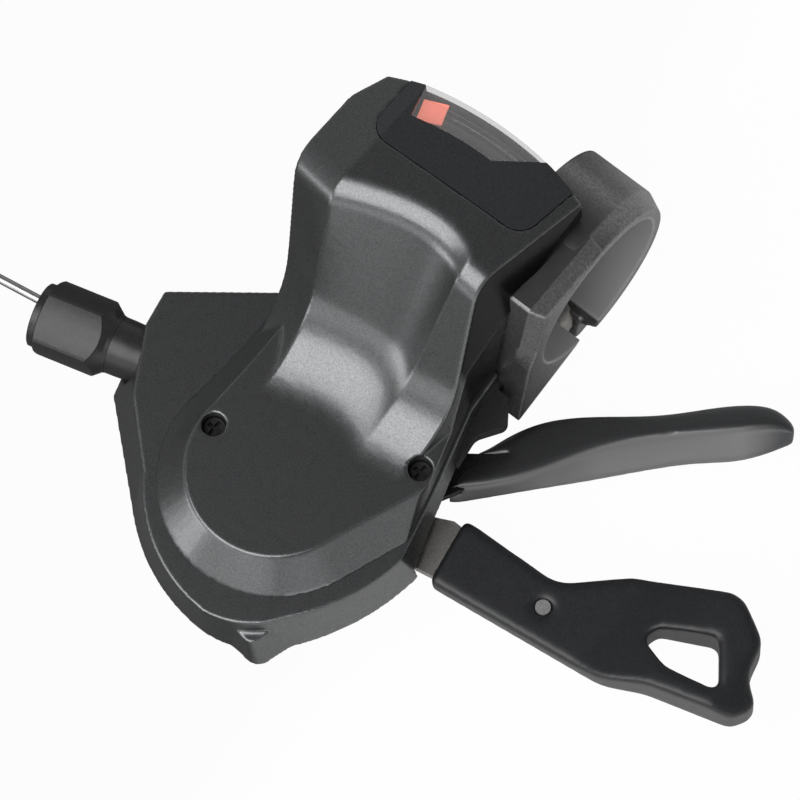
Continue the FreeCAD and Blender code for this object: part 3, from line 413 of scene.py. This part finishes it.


# Thumb lever
# A die-cast alloy pad on a black steel core, sprayed dark grey with a fine grip texture. Its long sloping
# flank, where it faces front and right, carries a painted highlight: a lighter, less metallic grey that
# fades out at the tip.
black_steel = finish_material("black_oxide_steel", (0.02, 0.02, 0.021), (0.05, 0.05, 0.052), metallic=0.7,
                              rough=(0.35, 0.5), flake_scale=6000.0)
# Painted highlight: the flank facing front and right is painted a lighter, less metallic grey, fading out at
# the tip.
top_metallic = 0.8
flank_highlight_metallic = 0.1
flank_highlight_grey = grey(0.19)
flank_direction = (0.6, -0.51, 0.61)
flank_from = 0.74
flank_full = 0.92
lever_run = (1.0, 1.0, 0.0)
tip_from = 0.029
tip_full = 0.036
lever_paint = finish_material("lever_texture_paint", (0.095, 0.097, 0.1), (0.118, 0.12, 0.123),
                              metallic=top_metallic, rough=(0.3, 0.36), flake_scale=5200.0,
                              peel_scale=2200.0, bump=0.12)
lever_tree = lever_paint.node_tree
lever_shader = lever_tree.nodes["Principled BSDF"]
lever_place = lever_tree.nodes.new("ShaderNodeTexCoord")
lever_facing = along(lever_tree, lever_place.outputs["Normal"], flank_direction)
lever_flank = change_between(lever_tree, lever_facing, flank_from, flank_full)
lever_along = along(lever_tree, lever_place.outputs["Object"], lever_run)
lever_body = change_between(lever_tree, lever_along, tip_from, tip_full, at_low=1.0, at_high=0.0)
lever_painted_highlight = both(lever_tree, lever_flank, lever_body)
lever_metal = change_between(lever_tree, lever_painted_highlight, 0.0, 1.0, at_low=top_metallic, at_high=flank_highlight_metallic)
lever_grain = lever_tree.nodes["grain"].outputs["Colour"]
lever_tint = blend_colours(lever_tree, lever_painted_highlight, (lever_grain, flank_highlight_grey))
lever_tree.links.new(lever_tint, lever_shader.inputs["Base Color"])
lever_tree.links.new(lever_metal, lever_shader.inputs["Metallic"])
dress("main_lever_plate", black_steel)
dress("main_lever_pad", lever_paint)
round_moulding("main_lever_pad", voxel=0.00022, passes=55)


# Release lever
# A finger lever moulded in black nylon over a steel plate. A small bright rivet goes through the lever and
# holds it to the plate.
release_black = finish_material("release_black_nylon", (0.009, 0.0095, 0.011), (0.019, 0.02, 0.022),
                                metallic=0.0, rough=(0.34, 0.44), flake_scale=4200.0, bump=0.2)
dress("release_lever_pad", release_black)
round_moulding("release_lever_pad", voxel=0.00026, passes=45)
rivet_steel = finish_material("rivet_steel", grey(0.34), grey(0.46), metallic=0.7, rough=(0.3, 0.4))
dress("release_lever_rivet", rivet_steel)


# Handlebar clamp
# A split band in grained grey alloy, forged and machined, drawn tight round the bar by one bolt. Its bore
# is painted a pale, non-metallic grey as painted light, and its level tops are painted darker as painted
# shade.
clamp_metallic = 0.9
# Painted light: the bore is painted a pale, non-metallic grey so that it looks lit.
bore_painted_light_metallic = 0.0
bore_edge = 0.01132
bore_blend = 0.0003
bore_painted_light_grey = grey(0.35)
# Painted shade: faces that point up are painted darker.
level_from = 0.85
level_full = 0.98
level_painted_shade_grey = grey(0.14)
clamp_alloy = finish_material("clamp_grey_anodised", grey(0.18), grey(0.31), metallic=clamp_metallic,
                              rough=(0.3, 0.4), flake_scale=3200.0, bump=0.25)
clamp_tree = clamp_alloy.node_tree
clamp_shader = clamp_tree.nodes["Principled BSDF"]
clamp_place = clamp_tree.nodes.new("ShaderNodeTexCoord")
clamp_flat = add_node(clamp_tree, "ShaderNodeVectorMath", {1: (0.0, 1.0, 1.0)}, "MULTIPLY")
clamp_reach = add_node(clamp_tree, "ShaderNodeVectorMath", operation="LENGTH")
clamp_tree.links.new(clamp_place.outputs["Object"], clamp_flat.inputs[0])
clamp_tree.links.new(clamp_flat.outputs["Vector"], clamp_reach.inputs[0])
clamp_outside = change_between(clamp_tree, clamp_reach.outputs["Value"], bore_edge, bore_edge + bore_blend)
clamp_facing = along(clamp_tree, clamp_place.outputs["Normal"], (0.0, 0.0, 1.0))
clamp_level_shade = change_between(clamp_tree, clamp_facing, level_from, level_full)
clamp_grain = clamp_tree.nodes["grain"].outputs["Colour"]
clamp_shaded_tops = blend_colours(clamp_tree, clamp_level_shade, (clamp_grain, level_painted_shade_grey))
clamp_tint = blend_colours(clamp_tree, clamp_outside, (bore_painted_light_grey, clamp_shaded_tops))
clamp_metal = change_between(clamp_tree, clamp_outside, 0.0, 1.0,
                             at_low=bore_painted_light_metallic, at_high=clamp_metallic)
clamp_tree.links.new(clamp_tint, clamp_shader.inputs["Base Color"])
clamp_tree.links.new(clamp_metal, clamp_shader.inputs["Metallic"])
dress("clamp_band", clamp_alloy)
round_moulding("clamp_band", voxel=0.00016, passes=8, keep=0.6)

# The band's flat shoulder is forged in one with it and reaches back to the housing at the ring's top.
shoulder_outer = ((0.0015, 0.01382), (-0.0112, 0.0138), (-0.01355, 0.0042))
shoulder_face = ((0.0014, 0.01262), (-0.0102, 0.0126), (-0.01235, 0.0042))
shoulder_back_x = 0.0004
shoulder_bevel_x = 0.0036
shoulder_face_x = 0.00572
shoulder_inner_radius = 0.0114
arc_points = 9
arc_first_degrees = 160.0
arc_step_degrees = 9.5
shoulder_arc = []
for step in range(arc_points):
    angle = math.radians(arc_first_degrees - step * arc_step_degrees)
    shoulder_arc.append((shoulder_inner_radius * math.cos(angle), shoulder_inner_radius * math.sin(angle)))
shoulder_sections = ((shoulder_back_x, shoulder_outer), (shoulder_bevel_x, shoulder_outer),
                     (shoulder_face_x, shoulder_face))
shoulder_points = []
for x, outline in shoulder_sections:
    shoulder_points += [(x, y, z) for y, z in (*outline, *shoulder_arc)]
corners = len(shoulder_outer) + arc_points
back_face = tuple(range(corners - 1, -1, -1))
near_face = tuple(range(2 * corners, 3 * corners))
shoulder_faces = [back_face, near_face]
for ring in (0, corners):
    for corner in range(corners):
        after = (corner + 1) % corners
        shoulder_faces.append((ring + corner, ring + after, ring + corners + after, ring + corners + corner))
shoulder = add_piece("clamp_shoulder", shoulder_points, shoulder_faces, clamp_alloy)
ease_edges(shoulder, width=0.0004, segments=3)
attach(shoulder, "housing")

dress("clamp_bolt", plated_steel)
dress("bracket_screws", black_steel)
dress("clamp_bracket", black_plastic)


# Camera
# Stands high over the control and a little to one side, as in the photograph. The long lens keeps the near
# and far ends at nearly one scale.
view_right = Vector((0.7745, 0.6307, -0.0485))
view_up = Vector((-0.5896, 0.7475, 0.3060))
view_back = Vector((0.2292, -0.2084, 0.9508))
camera_place = Vector((0.14297, -0.16148, 0.6138))
camera_data = bpy.data.cameras.new("camera")
camera_data.sensor_width = 36.0
camera_data.lens = 230.0
camera_data.clip_end = 20.0
camera = bpy.data.objects.new("camera", camera_data)
bpy.context.scene.collection.objects.link(camera)
camera.matrix_world = Matrix((
    (view_right.x, view_up.x, view_back.x, camera_place.x),
    (view_right.y, view_up.y, view_back.y, camera_place.y),
    (view_right.z, view_up.z, view_back.z, camera_place.z),
    (0.0, 0.0, 0.0, 1.0)))
bpy.context.scene.camera = camera


# Studio
# A paper sweep under four soft boxes, in a room that is dim overhead. The camera sees sweep and room as
# white. Reflections and bounced light see painted shade on the paper: dark on the left and pale on the
# right.
floor_drop = 0.0005
floor_half = 3.0
# Painted shade: for reflections and bounced light the paper is painted dark on the left and pale on the
# right.
floor_painted_shade = 0.14
floor_pale = 0.85
floor_run = (1.0, 0.15, 0.0)
floor_painted_shade_until = -0.012
floor_pale_from = 0.002
floor_white_share = 0.97
floor_z = cad_box[0][2] - floor_drop
floor_material = bpy.data.materials.new("white_sweep")
floor_material.use_nodes = True
floor_tree = floor_material.node_tree
floor_tree.nodes.remove(floor_tree.nodes["Principled BSDF"])
floor_place = floor_tree.nodes.new("ShaderNodeTexCoord")
floor_along = along(floor_tree, floor_place.outputs["Object"], floor_run)
floor_shade = change_between(floor_tree, floor_along, floor_painted_shade_until, floor_pale_from,
                             at_low=floor_painted_shade, at_high=floor_pale)
floor_paper = floor_tree.nodes.new("ShaderNodeBsdfDiffuse")
floor_tree.links.new(floor_shade, floor_paper.inputs["Color"])
floor_glow = add_node(floor_tree, "ShaderNodeEmission", {"Color": (1.0, 1.0, 1.0, 1.0)})
floor_rays = floor_tree.nodes.new("ShaderNodeLightPath")
floor_seen = add_node(floor_tree, "ShaderNodeMath", {1: floor_white_share}, "MULTIPLY")
floor_mix = floor_tree.nodes.new("ShaderNodeMixShader")
floor_tree.links.new(floor_rays.outputs["Is Camera Ray"], floor_seen.inputs[0])
floor_tree.links.new(floor_seen.outputs["Value"], floor_mix.inputs["Fac"])
floor_tree.links.new(floor_paper.outputs["BSDF"], floor_mix.inputs[1])
floor_tree.links.new(floor_glow.outputs["Emission"], floor_mix.inputs[2])
floor_tree.links.new(floor_mix.outputs["Shader"], floor_tree.nodes["Material Output"].inputs["Surface"])
floor_corners = ((-1.0, -1.0), (1.0, -1.0), (1.0, 1.0), (-1.0, 1.0))
floor_points = [(floor_half * x, floor_half * y, floor_z) for x, y in floor_corners]
floor = add_piece("studio_floor", floor_points, [(0, 1, 2, 3)], floor_material)

object_middle = Vector((-0.002, -0.025, -0.004))
lamp_distance = 0.9


def soft_box(name, direction, width, height, radiance):
    """A soft box in the given direction from the control, facing it."""
    data = bpy.data.lights.new(name, "AREA")
    data.shape = "RECTANGLE"
    data.size = width
    data.size_y = height
    data.energy = radiance * math.pi * width * height
    lamp = bpy.data.objects.new(name, data)
    bpy.context.scene.collection.objects.link(lamp)
    toward = Vector(direction).normalized()
    lamp.location = object_middle + toward * lamp_distance
    lamp.rotation_euler = toward.to_track_quat("Z", "Y").to_euler()


soft_box("overhead_box", (-0.1, -0.53, 0.848), width=0.85, height=0.72, radiance=3.7)
soft_box("low_front_box", (-0.05, -0.97, 0.22), width=1.2, height=0.3, radiance=1.0)
soft_box("left_soft_box", (-0.6, -0.8, 0.09), width=0.42, height=0.2, radiance=3.4)
soft_box("right_soft_box", (0.8, -0.6, 0.06), width=0.5, height=0.16, radiance=1.8)

room_horizon = (0.62, 0.62, 0.62, 1.0)
room_overhead = (0.045, 0.045, 0.048, 1.0)
room_white = (1.0, 1.0, 1.0)
world = bpy.data.worlds.new("studio_room")
bpy.context.scene.world = world
world.use_nodes = True
room = world.node_tree
room_place = room.nodes.new("ShaderNodeTexCoord")
room_height = along(room, room_place.outputs["Generated"], (0.0, 0.0, 1.0))
room_ramp = room.nodes.new("ShaderNodeValToRGB")
room_ramp.color_ramp.elements[0].color = room_horizon
room_ramp.color_ramp.elements[1].color = room_overhead
room.links.new(room_height, room_ramp.inputs["Fac"])
room_rays = room.nodes.new("ShaderNodeLightPath")
room_pick = blend_colours(room, room_rays.outputs["Is Camera Ray"], (room_ramp.outputs["Color"], room_white))
room.links.new(room_pick, room.nodes["Background"].inputs["Color"])

bpy.context.scene.view_settings.view_transform = "Standard"
